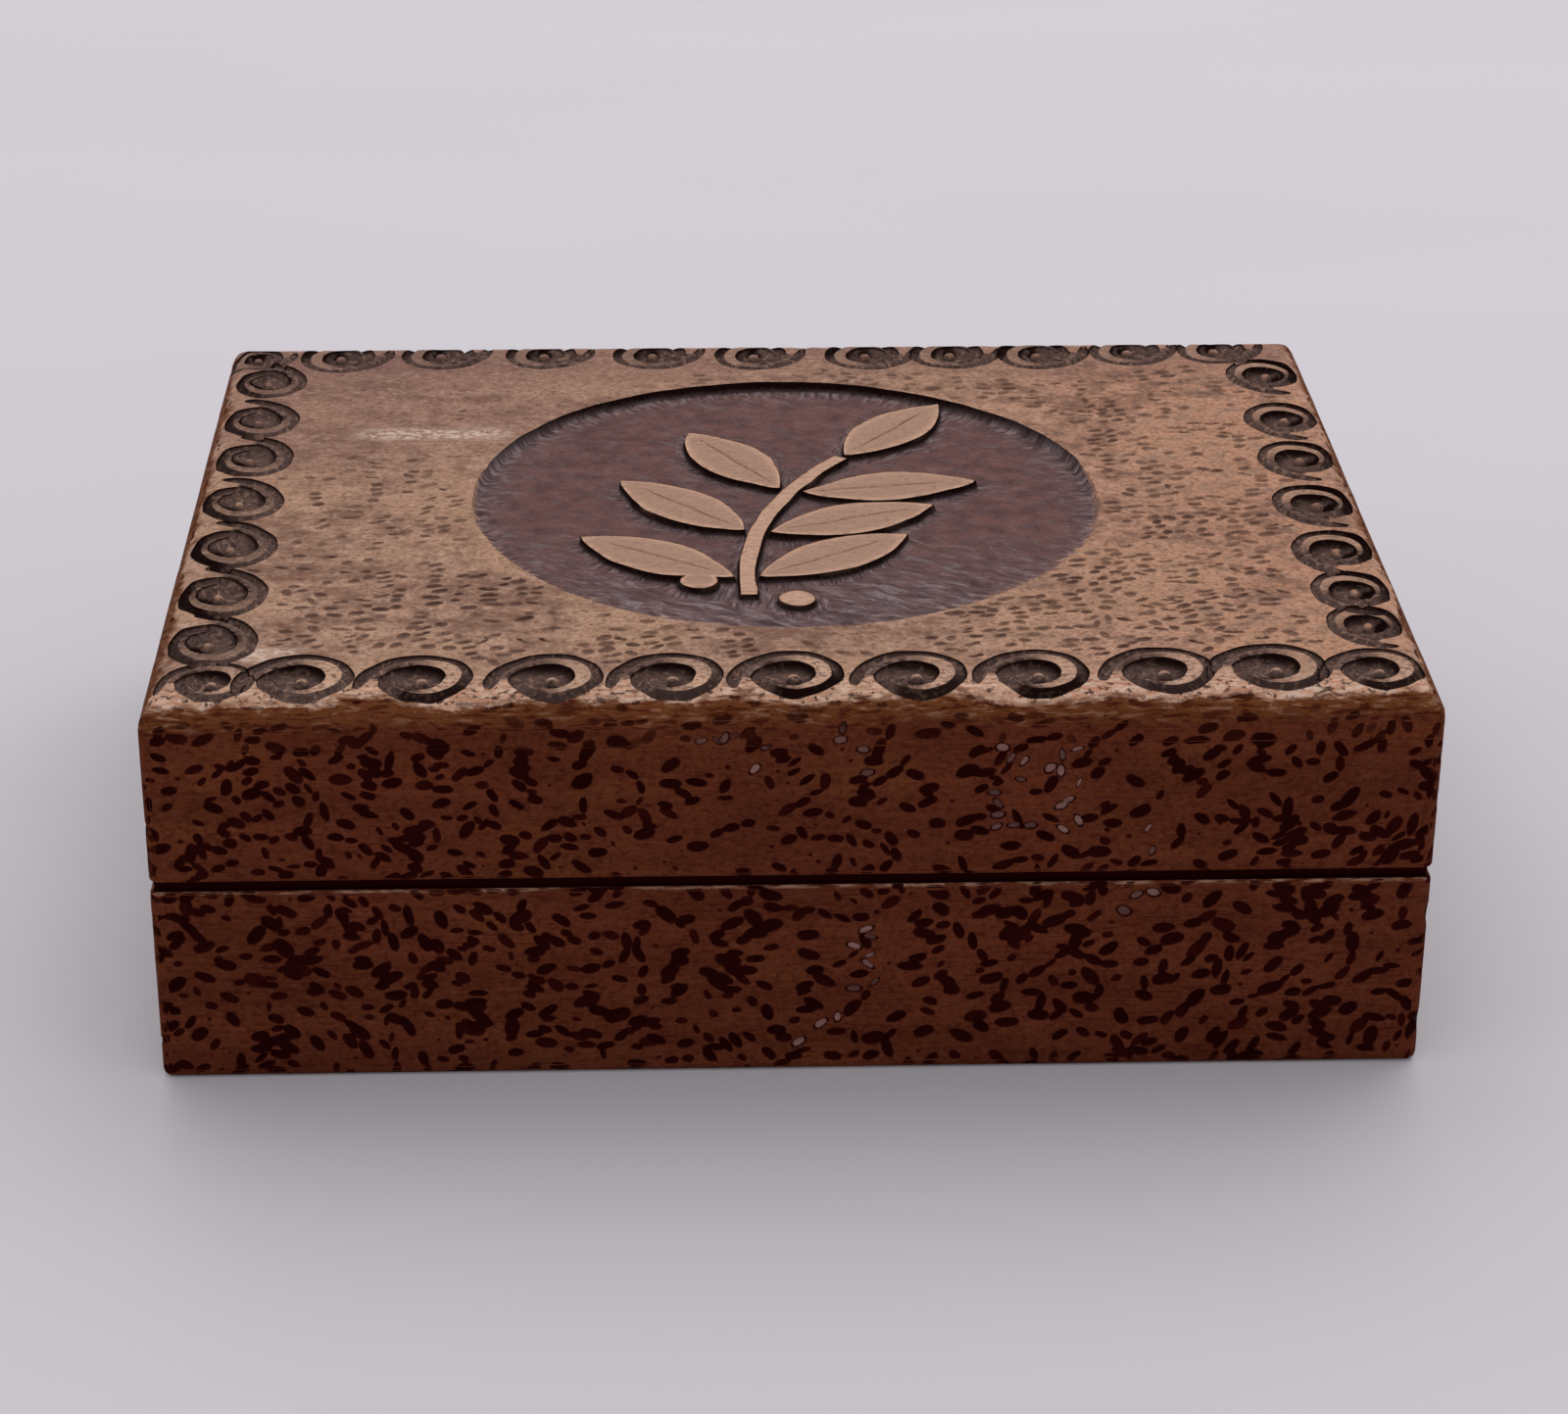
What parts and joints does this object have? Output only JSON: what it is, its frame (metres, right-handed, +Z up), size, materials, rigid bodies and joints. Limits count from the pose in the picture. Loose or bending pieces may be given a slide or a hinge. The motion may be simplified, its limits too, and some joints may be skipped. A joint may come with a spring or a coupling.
{
  "type": "wooden trinket box",
  "caption": "Rectangular carved wooden trinket box with a deep lid on butt hinges, a scroll border, a sunken round medallion and burnt seed marks on its sides.",
  "frame": {"origin": "centre of the underside of the box", "axes": "+X to the right along the width, +Y to the hinges at the back, +Z up"},
  "size_m": [0.14, 0.1087, 0.046],
  "materials": {
    "base_wood": "stained brown, satin varnish, burnt marks",
    "lid_wood": "stained brown, satin varnish, burnt marks",
    "top_wood": "carved, stained and worn",
    "bottom_wood": "plain, unvarnished",
    "brass": "aged",
    "steel": "dull"
  },
  "bodies": {
    "base": {"base_front": "base_wood", "base_back": "base_wood", "base_left": "base_wood", "base_right": "base_wood", "base_bottom": "bottom_wood", "bottom_nails": "steel", "left_hinge_base_leaf": "brass", "left_hinge_pin": "brass", "left_hinge_base_screws": "brass", "right_hinge_base_leaf": "brass", "right_hinge_pin": "brass", "right_hinge_base_screws": "brass"},
    "lid": {"lid_front": "lid_wood", "lid_back": "lid_wood", "lid_left": "lid_wood", "lid_right": "lid_wood", "lid_top": "top_wood", "left_hinge_lid_leaf": "brass", "left_hinge_lid_screws": "brass", "right_hinge_lid_leaf": "brass", "right_hinge_lid_screws": "brass"}
  },
  "joints": [
    {"name": "lid_hinge", "type": "hinge", "parent": "base", "child": "lid", "pos_m": [0, 0.05325, 0.0246], "axis": [-1, 0, 0], "range_deg": [0, 105]}
  ]
}
